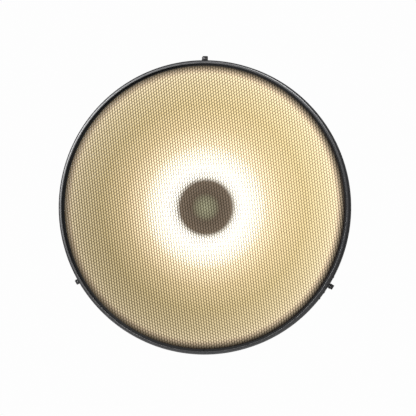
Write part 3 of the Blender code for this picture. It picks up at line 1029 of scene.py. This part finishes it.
    def _walls(self, made: GeometryTree, cells: Any, pitch: Any, foil: Any) -> bpy.types.NodeSocket:
        """Turn each cell into the flat outline of its walls.

        Args:
            made: The tree.
            cells: The cells.
            pitch: The cells' pitch.
            foil: The walls' thickness.

        Returns:
            The outlines.
        """
        rim = made.add("GeometryNodeExtrudeMesh", mode="FACES")
        made.wire(cells, rim.inputs["Mesh"])
        rim.inputs["Offset Scale"].default_value = 0.0
        rim.inputs["Individual"].default_value = True
        shrink = made.add("GeometryNodeScaleElements", domain="FACE")
        made.wire(rim.outputs["Mesh"], shrink.inputs["Geometry"])
        made.wire(rim.outputs["Top"], shrink.inputs["Selection"])
        opening = made.math("SUBTRACT", 1.0, made.math("DIVIDE", foil, pitch))
        made.wire(opening, shrink.inputs["Scale"])
        open_up = made.add("GeometryNodeDeleteGeometry", domain="FACE", mode="ONLY_FACE")
        made.wire(shrink.outputs[0], open_up.inputs["Geometry"])
        made.wire(rim.outputs["Top"], open_up.inputs["Selection"])
        return open_up.outputs[0]

    def _raise(self, made: GeometryTree, walls: Any, depth: Any, rear: Any) -> bpy.types.NodeSocket:
        """Give the walls their depth, close the rear, turn the rows and set the height.

        Args:
            made: The tree.
            walls: The outlines.
            depth: The core's depth.
            rear: The rear face's height.

        Returns:
            The finished half.
        """
        rise = made.add("ShaderNodeCombineXYZ")
        made.wire(depth, rise.inputs["Z"])
        lift = made.add("GeometryNodeExtrudeMesh", mode="FACES")
        made.wire(walls, lift.inputs["Mesh"])
        made.wire(rise.outputs[0], lift.inputs["Offset"])
        lift.inputs["Individual"].default_value = False
        turn_over = made.add("GeometryNodeFlipFaces")
        made.wire(walls, turn_over.inputs["Mesh"])
        both = made.add("GeometryNodeJoinGeometry")
        made.wire(lift.outputs["Mesh"], both.inputs[0])
        made.wire(turn_over.outputs[0], both.inputs[0])
        weld = made.add("GeometryNodeMergeByDistance")
        made.wire(both.outputs[0], weld.inputs["Geometry"])
        weld.inputs["Distance"].default_value = SAME_SPOT
        place = made.add("GeometryNodeTransform")
        made.wire(weld.outputs[0], place.inputs["Geometry"])
        drop = made.add("ShaderNodeCombineXYZ")
        made.wire(rear, drop.inputs["Z"])
        made.wire(drop.outputs[0], place.inputs["Translation"])
        place.inputs["Rotation"].default_value = (0.0, 0.0, math.radians(self.turn_deg))
        return place.outputs[0]

    def build(self, ring: Ring) -> None:
        """Grow both halves.

        Args:
            ring: The frame.
        """
        radius, rear, front = ring.reach("honeycomb_core")
        rows = int(2 * radius / (self.pitch * HEX_ROW)) + self.spare_rows
        tree = self.tree()
        for name, side in (("foil_core_left", -1.0), ("foil_core_right", 1.0)):
            inputs = {
                "Pitch": self.pitch,
                "Foil": self.foil,
                "Radius": radius,
                "Depth": front - rear,
                "Rear": rear,
                "Sway": self.sway,
                "Jitter": self.jitter,
                "Seed": self.seed,
                "Rows": rows,
                "Side": side,
                "Material": ring.wardrobe.materials[CORE_FOIL],
            }
            half = tree.grow(name, bpy.data.meshes.new(name), inputs)
            half.data.transform(BENCH_TO_FRAME)
            outward(half)
            half.data.shade_flat()
            ring.keep(half, "ring", CORE_FOIL, ["honeycomb_core"])


@dataclass
class SplicePlate:
    """The curved plate behind the band's seam.

    Attributes:
        edge: The width of its broken edges.
    """

    edge: float = 0.2 * MM

    def build(self, ring: Ring) -> None:
        """Build the plate.

        Args:
            ring: The frame.
        """
        plate = softened(ring.frame["nodes"]["splice_plate"], "seam_splice", self.edge)
        # The plate sits in the recess and wears the darker coat: painted shade.
        ring.keep(plate, "ring", RECESS_SHADE_COAT, ["splice_plate"])


@dataclass
class Scatter:
    """Puts copies of one turned shape at given places, each along its own axis.

    Attributes:
        name: The name of the tree and of what it makes.
    """

    name: str

    def tree(self) -> GeometryTree:
        """Build the tree: the base mesh's points carry each copy's axis.

        Returns:
            The tree.
        """
        made = GeometryTree(self.name)
        shape = made.size("Shape", "Object")
        scale = made.size("Scale")
        source = made.add("GeometryNodeObjectInfo")
        made.wire(shape, source.inputs["Object"])
        axis = made.add("GeometryNodeInputNamedAttribute", data_type="FLOAT_VECTOR")
        axis.inputs["Name"].default_value = "axis"
        aim = made.add("FunctionNodeAlignRotationToVector", axis="Z")
        made.wire(axis.outputs["Attribute"], aim.inputs["Vector"])
        put = made.add("GeometryNodeInstanceOnPoints")
        made.wire(made.entry.outputs["Geometry"], put.inputs["Points"])
        made.wire(source.outputs["Geometry"], put.inputs["Instance"])
        made.wire(aim.outputs["Rotation"], put.inputs["Rotation"])
        made.wire(scale, put.inputs["Scale"])
        made.finish(put.outputs["Instances"])
        return made

    def grow(
        self,
        profile: Outline,
        steps: int,
        spots: Sequence[tuple[Vector, Vector]],
        material: bpy.types.Material,
    ) -> bpy.types.Object:
        """Turn the profile and put a copy on each spot.

        Args:
            profile: The (radius, height) profile, whose ends lie on the axis.
            steps: Steps round it.
            spots: Each copy's place and axis.
            material: Its material.

        Returns:
            One mesh of all the copies.
        """
        shape = mesh_piece(f"{self.name}_shape", lathe(profile, steps))
        base = bpy.data.meshes.new(self.name)
        base.from_pydata([place for place, _ in spots], [], [])
        attribute = base.attributes.new("axis", "FLOAT_VECTOR", "POINT")
        for value, (_, axis) in zip(attribute.data, spots):
            value.vector = axis
        inputs = {"Shape": shape, "Scale": 1.0, "Material": material}
        made = self.tree().grow(self.name, base, inputs)
        bpy.data.objects.remove(shape)
        shade(made, 40)
        return made


@dataclass
class Rivets:
    """Every blind rivet: a domed head with its mandrel's stub outside, a swollen tail inside.

    Attributes:
        shank: The shank's radius.
        head: The head's radius.
        dome: The head's height.
        hole: The radius of the hole round the mandrel's stub.
        tail: The tail's radius.
        tail_length: The tail's length.
        steps: Steps round a rivet.
    """

    shank: float = 1.5 * MM
    head: float = 3.0 * MM
    dome: float = 1.1 * MM
    hole: float = 0.85 * MM
    tail: float = 2.4 * MM
    tail_length: float = 1.8 * MM
    steps: int = 24

    def head_profile(self) -> Outline:
        """Draw the head, from its shank to the stub in its hole, with the dome's top at 0.

        Returns:
            The (radius, height) points.
        """
        return [
            (0.0, -2.2 * self.dome),
            (self.shank, -2.2 * self.dome),
            (self.shank, -self.dome),
            (self.head, -self.dome),
            (0.985 * self.head, -0.84 * self.dome),
            (0.90 * self.head, -0.55 * self.dome),
            (0.74 * self.head, -0.25 * self.dome),
            (0.54 * self.head, -0.06 * self.dome),
            (0.38 * self.head, 0.0),
            (1.06 * self.hole, -0.04 * self.dome),
            (self.hole, -0.50 * self.dome),
            (0.62 * self.hole, -0.52 * self.dome),
            (0.55 * self.hole, -0.36 * self.dome),
            (0.0, -0.32 * self.dome),
        ]

    def tail_profile(self) -> Outline:
        """Draw the tail, from its shank to its end, with the end at 0.

        Returns:
            The (radius, height) points.
        """
        return [
            (0.0, -1.7 * self.tail_length),
            (self.shank, -1.7 * self.tail_length),
            (self.shank, -self.tail_length),
            (0.86 * self.tail, -self.tail_length),
            (self.tail, -0.75 * self.tail_length),
            (self.tail, -0.42 * self.tail_length),
            (0.8 * self.tail, -0.12 * self.tail_length),
            (0.5 * self.tail, 0.0),
            (0.0, 0.0),
        ]

    def build(self, ring: Ring) -> None:
        """Put a head and a tail on each rivet's place.

        Args:
            ring: The frame.
        """
        nodes = [name for name in ring.frame["nodes"] if "rivet" in name]
        heads, tails = [], []
        for name in nodes:
            corners = [vert.co for vert in ring.frame["nodes"][name].data.vertices]
            middle = sum(corners, Vector()) / len(corners)
            axis = Vector((middle.x, 0.0, middle.z)).normalized()
            along = [corner.dot(axis) for corner in corners]
            height = Vector((0.0, middle.y, 0.0))
            heads.append((height + axis * max(along), axis))
            tails.append((height + axis * min(along), -axis))
        material = ring.wardrobe.materials[RIVET_STEEL]
        outside = Scatter("rivet_heads").grow(self.head_profile(), self.steps, heads, material)
        ring.keep(outside, "ring", RIVET_STEEL, nodes)
        inside = Scatter("rivet_tails").grow(self.tail_profile(), self.steps, tails, material)
        ring.keep(inside, "ring", RIVET_STEEL, [])


@dataclass
class HingePins:
    """The three headed pins that the hooks turn on.

    Attributes:
        shank: The shank's radius.
        head: The heads' radius.
        head_depth: A head's thickness.
        steps: Steps round a pin.
    """

    shank: float = 1.25 * MM
    head: float = 2.0 * MM
    head_depth: float = 0.7 * MM
    steps: int = 24

    def build(self, ring: Ring) -> None:
        """Put a pin on each hinge.

        Args:
            ring: The frame.
        """
        spots, half = [], 0.0
        for joint in ring.frame["joints"]:
            axis, place = Vector(joint["axis"]), Vector(joint["pos_m"])
            node = ring.frame["nodes"][joint["child"].replace("hook", "hinge_pin")]
            half = max((vert.co - place).dot(axis) for vert in node.data.vertices)
            spots.append((place, axis))
        neck = half - self.head_depth
        rounded = [
            (self.head, neck),
            (self.head, neck + 0.5 * self.head_depth),
            (0.93 * self.head, neck + 0.82 * self.head_depth),
            (0.74 * self.head, half),
        ]
        upper = [(self.shank, neck), *rounded, (0.0, half)]
        profile = [(r, -h) for r, h in reversed(upper)] + upper
        pins = Scatter("hinge_pins").grow(
            profile, self.steps, spots, ring.wardrobe.materials[SPRING_STEEL]
        )
        ring.keep(pins, "ring", SPRING_STEEL, [f"hinge_pin_{clip}" for clip in ring.clip_angles])


@dataclass
class PressedClip:
    """A clip's bracket, hook and boot, with the edges that pressing and moulding leave.

    Attributes:
        clip: The clip's name.
        sheet_edge: The width of a sheet's broken edge.
        boot_edge: The width of the rubber's rounded edge.
    """

    clip: str
    sheet_edge: float = 0.13 * MM
    boot_edge: float = 0.16 * MM

    def build(self, ring: Ring) -> None:
        """Build the three pieces.

        Args:
            ring: The frame.
        """
        nodes, hook = ring.frame["nodes"], f"hook_{self.clip}"
        base = f"clip_bracket_{self.clip}"
        bracket = softened(nodes[base], f"pressed_bracket_{self.clip}", self.sheet_edge)
        ring.keep(bracket, "ring", CLIP_COAT, [base])
        arm = softened(nodes[hook], f"sprung_hook_{self.clip}", self.sheet_edge)
        ring.keep(arm, hook, CLIP_COAT, [hook])
        sleeve = f"hook_sleeve_{self.clip}"
        boot = softened(nodes[sleeve], f"rubber_boot_{self.clip}", self.boot_edge)
        ring.keep(boot, hook, SLEEVE_RUBBER, [sleeve])


@dataclass
class TorsionSpring:
    """A clip's spring: the coil and its fixed leg, and the leg that presses the hook's arm.

    The legs' and the coil's places are measured from the pin's axis: x outwards, y along the axis
    and z towards the front.

    Attributes:
        clip: The clip's name.
        angle_deg: The clip's angle.
        wire: The wire's radius.
        coil: The coil's mean radius.
        turns: The number of turns.
        pitch: The coil's pitch.
        arm_leg: How far out the arm's leg stands, and where it ends.
        arm_bend: Where the arm's leg bends towards the coil.
        base_leg: How far in the fixed leg stands, and where it ends.
        base_bend: Where the fixed leg bends towards the coil.
        lap_deg: How far the arm's leg follows the coil, to join it still when the hook is open.
        overlap_deg: How far the fixed coil and the arm's leg share the same turn at rest.
        points: Points to a turn.
    """

    clip: str
    angle_deg: float
    wire: float = 0.35 * MM
    coil: float = 1.9 * MM
    turns: int = 3
    pitch: float = 0.78 * MM
    arm_leg: tuple[float, float] = (3.4 * MM, -6.0 * MM)
    arm_bend: float = -3.55 * MM
    base_leg: tuple[float, float] = (-2.95 * MM, 5.7 * MM)
    base_bend: float = 3.975 * MM
    lap_deg: float = 90.0
    overlap_deg: float = 5.0
    points: int = 20

    def _turn(self, angle_deg: float) -> tuple[float, float, float]:
        """Find a point of the coil.

        Args:
            angle_deg: The angle from the coil's start.

        Returns:
            The point.
        """
        angle = math.radians(angle_deg)
        y = self.pitch * (angle_deg / 360.0 - self.turns / 2)
        return (self.coil * math.cos(angle), y, self.coil * math.sin(angle))

    def _coil(self, first_deg: float, last_deg: float) -> list[tuple[float, float, float]]:
        """Find the coil's points between two angles.

        Args:
            first_deg: The first angle.
            last_deg: The last angle.

        Returns:
            The points, both ends included.
        """
        count = max(2, round(self.points * (last_deg - first_deg) / 360.0))
        sweep = last_deg - first_deg
        return [self._turn(first_deg + sweep * n / count) for n in range(count + 1)]

    def _wire(
        self, name: str, points: Sequence[Sequence[float]], place: Matrix
    ) -> bpy.types.Object:
        """Sweep the wire along points.

        Args:
            name: The piece's name.
            points: The points about the pin's axis.
            place: The matrix into the frame.

        Returns:
            The piece.
        """
        curve = bpy.data.curves.new(name, "CURVE")
        curve.dimensions = "3D"
        curve.bevel_depth = self.wire
        curve.bevel_resolution = 3
        curve.use_fill_caps = True
        spline = curve.splines.new("POLY")
        spline.points.add(len(points) - 1)
        for point, co in zip(spline.points, points):
            point.co = (*co, 1.0)
        obj = bpy.data.objects.new(name, curve)
        bpy.context.scene.collection.objects.link(obj)
        made = baked(obj)
        made.data.transform(place)
        outward(made)
        shade(made, 50)
        return made

    def build(self, ring: Ring) -> None:
        """Build the coil and the arm's leg.

        Args:
            ring: The frame.
        """
        joint = next(j for j in ring.frame["joints"] if j["child"] == f"hook_{self.clip}")
        turn = BENCH_TO_FRAME @ Matrix.Rotation(math.radians(self.angle_deg), 4, "Z")
        place = Matrix.Translation(joint["pos_m"]) @ turn
        side = self.pitch * self.turns / 2
        fixed = self._coil(self.lap_deg - self.overlap_deg, 360.0 * self.turns)
        fixed += [
            (self.coil, side, self.coil + self.wire),
            (self.base_leg[0], side, self.base_bend),
            (self.base_leg[0], side, self.base_leg[1]),
        ]
        coil = self._wire(f"spring_coil_{self.clip}", fixed, place)
        ring.keep(coil, "ring", SPRING_STEEL, [f"torsion_spring_{self.clip}"])
        moving = [
            (self.arm_leg[0], -side, self.arm_leg[1]),
            (self.arm_leg[0], -side, self.arm_bend),
            *self._coil(0.0, self.lap_deg),
        ]
        leg = self._wire(f"spring_leg_{self.clip}", moving, place)
        ring.keep(leg, f"hook_{self.clip}", SPRING_STEEL, [f"torsion_spring_{self.clip}"])


# ---------------------------------------------------------------------------------------------
# The studio
# ---------------------------------------------------------------------------------------------


GLOW_STOPS = (
    (0.00, (0.125, 0.123, 0.080)),
    (0.06, (0.090, 0.084, 0.055)),
    (0.10, (0.056, 0.042, 0.030)),
    (0.178, (0.072, 0.055, 0.040)),
    (0.215, (0.52, 0.50, 0.45)),
    (0.27, (0.749, 0.714, 0.630)),
    (0.33, (0.630, 0.589, 0.470)),
    (0.43, (0.433, 0.347, 0.230)),
    (0.55, (0.320, 0.252, 0.143)),
    (0.70, (0.266, 0.211, 0.111)),
    (0.84, (0.286, 0.234, 0.138)),
    (0.911, (0.315, 0.259, 0.167)),
    (0.929, (0.217, 0.169, 0.115)),
    (0.949, (0.086, 0.069, 0.047)),
    (0.966, (0.008, 0.006, 0.005)),
    (0.979, (0.0, 0.0, 0.0)),
)


@dataclass(frozen=True)
class Lamp:
    """A round soft light that points at the grid's centre.

    Attributes:
        name: Its name.
        place: Where it stands.
        size: Its diameter.
        watts: Its power.
    """

    name: str
    place: tuple[float, float, float]
    size: float
    watts: float

    def build(self) -> None:
        """Put the light in the scene."""
        light = bpy.data.lights.new(self.name, "AREA")
        light.shape = "DISK"
        light.size = self.size
        light.energy = self.watts
        obj = bpy.data.objects.new(self.name, light)
        bpy.context.scene.collection.objects.link(obj)
        obj.location = self.place
        obj.rotation_euler = (-Vector(self.place)).to_track_quat("-Z", "Y").to_euler()


@dataclass
class Studio:
    """The floor, the lights and the camera.

    Attributes:
        lens: The camera's lens, in millimetres.
        azimuth_deg: How far round to the right the camera stands.
        frame_width: The width of the frame at the grid.
        aim: The point that the camera's middle looks at.
        sensor: The width of the camera's sensor, in millimetres.
        backdrop_light: The backdrop's strength as a light.
        backdrop_seen: The backdrop's strength as the camera sees it.
        floor_radius: The floor's radius.
        floor_height: The floor's height.
        floor_fade: Where the floor starts to fade, and where it is gone.
        lamps: The lights in front of the grid.
        glow_radius: The glowing disc's radius.
        glow_unit: The radius that the glow's stops are shares of.
        glow_behind: How far the disc lies behind the frame's origin.
        glow_strength: The disc's strength.
        glow_lean: The way in which the glow gets stronger, and how much.
        glow_shift: How far the pattern is moved, in the middle and at the edge.
        shift_span: The shares of the radius between which the move changes.
        lean_span: The shares of the radius between which the lean sets in.
    """

    lens: float = 300.0
    azimuth_deg: float = 8.2
    frame_width: float = 0.981
    aim: tuple[float, float, float] = (0.0114, -0.033, -0.0014)
    sensor: float = 36.0
    backdrop_light: float = 0.14
    backdrop_seen: float = 0.985
    floor_radius: float = 3.0
    floor_height: float = -0.85
    floor_fade: tuple[float, float] = (0.6, 2.8)
    lamps: tuple[Lamp, ...] = (
        Lamp("key", (-0.95, -1.3, 0.45), 0.8, 56.0),
        Lamp("second", (0.5, -1.25, 1.05), 0.8, 46.0),
    )
    glow_radius: float = 0.3455
    glow_unit: float = 0.3475
    glow_behind: float = 0.0012
    glow_strength: float = 3.4
    glow_lean: tuple[float, float, float] = (0.206, 0.0, 0.155)
    glow_shift: tuple[tuple[float, float, float], ...] = (
        (0.005, 0.0, 0.0),
        (-0.0155, 0.0, 0.003),
    )
    shift_span: tuple[float, float] = (0.2, 0.95)
    lean_span: tuple[float, float] = (0.36, 0.75)

    def build(self) -> None:
        """Build the studio."""
        self._world()
        self._floor()
        self._lights()
        self._camera()
        bpy.context.scene.view_settings.view_transform = "Standard"

    def _world(self) -> None:
        """A white backdrop, dimmer as a light than it looks."""
        world = bpy.data.worlds.new("backdrop")
        bpy.context.scene.world = world
        world.use_nodes = True
        maker = TreeMaker(world.node_tree)
        shader = world.node_tree.nodes["Background"]
        seen = maker.add("ShaderNodeLightPath").outputs["Is Camera Ray"]
        level = maker.add("ShaderNodeMapRange")
        level.inputs["To Min"].default_value = self.backdrop_light
        level.inputs["To Max"].default_value = self.backdrop_seen
        maker.wire(seen, level.inputs["Value"])
        maker.wire(level.outputs["Result"], shader.inputs["Strength"])
        shader.inputs["Color"].default_value = (1.0, 1.0, 1.0, 1.0)

    def _floor(self) -> None:
        """A plain pale floor that fades into the backdrop."""
        bm = bmesh.new()
        bmesh.ops.create_circle(bm, cap_ends=True, segments=96, radius=self.floor_radius)
        floor = mesh_piece("floor", bm, Matrix.Translation((0, 0, self.floor_height)))
        material = bpy.data.materials.new("pale_floor")
        material.use_nodes = True
        maker = TreeMaker(material.node_tree)
        shader = material.node_tree.nodes["Principled BSDF"]
        shader.inputs["Base Color"].default_value = (0.9, 0.9, 0.9, 1.0)
        shader.inputs["Roughness"].default_value = 0.8
        place = maker.add("ShaderNodeTexCoord").outputs["Object"]
        flat = maker.vector("MULTIPLY", place, (1.0, 1.0, 0.0)).outputs[0]
        away = maker.vector("LENGTH", flat).outputs["Value"]
        fade = maker.add("ShaderNodeMapRange")
        fade.inputs["From Min"].default_value = self.floor_fade[0]
        fade.inputs["From Max"].default_value = self.floor_fade[1]
        fade.inputs["To Min"].default_value = 1.0
        fade.inputs["To Max"].default_value = 0.0
        maker.wire(away, fade.inputs["Value"])
        maker.wire(fade.outputs["Result"], shader.inputs["Alpha"])
        floor.data.materials.append(material)

    def _lights(self) -> None:
        """A key from the left, a weaker one from the upper right, and the glow behind the core."""
        for lamp in self.lamps:
            lamp.build()
        self._glow()

    def _glow(self) -> None:
        """A disc of lamplight behind the core: hot round the middle, golden outside, dim in it.

        The disc is clear from behind, but its light on the foil shows from every side. It isn't a
        part of the grid.
        """
        bm = bmesh.new()
        bmesh.ops.create_circle(bm, cap_ends=True, segments=96, radius=self.glow_radius)
        place = Matrix.Translation((0.0, self.glow_behind, 0.0)) @ BENCH_TO_FRAME
        disc = mesh_piece("lamp_glow", bm, place)
        material = bpy.data.materials.new("lamp_glow")
        material.use_nodes = True
        material.node_tree.nodes.clear()
        maker = TreeMaker(material.node_tree)
        light = maker.add("ShaderNodeEmission")
        point = maker.add("ShaderNodeTexCoord").outputs["Object"]
        flat = maker.vector("MULTIPLY", point, (1.0, 0.0, 1.0)).outputs[0]
        length = maker.vector("LENGTH", flat).outputs["Value"]
        away = maker.math("DIVIDE", length, self.glow_unit)
        toward = maker.vector("NORMALIZE", flat).outputs[0]
        inner, outer = Vector(self.glow_shift[0]), Vector(self.glow_shift[1])
        moved = self._share(maker, away, self.shift_span)
        change = maker.vector("SCALE", outer - inner, scale=moved).outputs[0]
        shift = maker.vector("ADD", change, inner).outputs[0]
        along = maker.vector("DOT_PRODUCT", toward, shift).outputs["Value"]
        shifted = maker.math("SUBTRACT", away, along)
        ramp = maker.add("ShaderNodeValToRGB")
        ramp.color_ramp.elements[0].position = GLOW_STOPS[0][0]
        ramp.color_ramp.elements[1].position = GLOW_STOPS[-1][0]
        for position, _ in GLOW_STOPS[1:-1]:
            ramp.color_ramp.elements.new(position)
        for element, (_, colour) in zip(ramp.color_ramp.elements, GLOW_STOPS):
            element.color = (*colour, 1.0)
        maker.wire(shifted, ramp.inputs[0])
        maker.wire(ramp.outputs[0], light.inputs["Color"])
        lean = maker.vector("DOT_PRODUCT", toward, self.glow_lean).outputs["Value"]
        lean = maker.math("MULTIPLY", lean, self._share(maker, away, self.lean_span))
        strength = maker.math("MULTIPLY", maker.math("ADD", lean, 1.0), self.glow_strength)
        maker.wire(strength, light.inputs["Strength"])
        clear = maker.add("ShaderNodeBsdfTransparent")
        front_only = maker.add("ShaderNodeMixShader")
        maker.wire(maker.add("ShaderNodeNewGeometry").outputs["Backfacing"], front_only.inputs[0])
        maker.wire(light.outputs[0], front_only.inputs[1])
        maker.wire(clear.outputs[0], front_only.inputs[2])
        maker.wire(front_only.outputs[0], maker.add("ShaderNodeOutputMaterial").inputs["Surface"])
        disc.data.materials.append(material)

    def _share(
        self, maker: TreeMaker, value: Any, span: tuple[float, float]
    ) -> bpy.types.NodeSocket:
        """Find how far a value is along a span, kept between 0 and 1.

        Args:
            maker: The tree.
            value: The value's socket.
            span: The span's two ends.

        Returns:
            The share's socket.
        """
        node = maker.add("ShaderNodeMapRange")
        node.inputs["From Min"].default_value = span[0]
        node.inputs["From Max"].default_value = span[1]
        maker.wire(value, node.inputs["Value"])
        return node.outputs["Result"]

    def _camera(self) -> None:
        """Stand the camera level with the grid's middle, a little to its right."""
        data = bpy.data.cameras.new("camera")
        data.lens = self.lens
        data.sensor_width = self.sensor
        data.clip_end = 100.0
        camera = bpy.data.objects.new("camera", data)
        bpy.context.scene.collection.objects.link(camera)
        turn = math.radians(self.azimuth_deg)
        away = self.frame_width * self.lens / self.sensor
        back = Vector((math.sin(turn), -math.cos(turn), 0.0))
        camera.location = Vector(self.aim) + back * away
        camera.rotation_euler = (-back).to_track_quat("-Z", "Y").to_euler()
        bpy.context.scene.camera = camera


def main() -> None:
    """Build the grid's looks and the studio."""
    logging.basicConfig(level=logging.INFO, format="%(message)s")
    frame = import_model()
    ring = Ring(frame, Wardrobe(FINISHES))
    RolledBand().build(ring)
    RetainingHoop().build(ring)
    HoneycombCore().build(ring)
    SplicePlate().build(ring)
    Rivets().build(ring)
    HingePins().build(ring)
    for clip, angle in ring.clip_angles.items():
        PressedClip(clip).build(ring)
        TorsionSpring(clip, angle).build(ring)
    Studio().build()


if __name__ == "__main__":
    main()
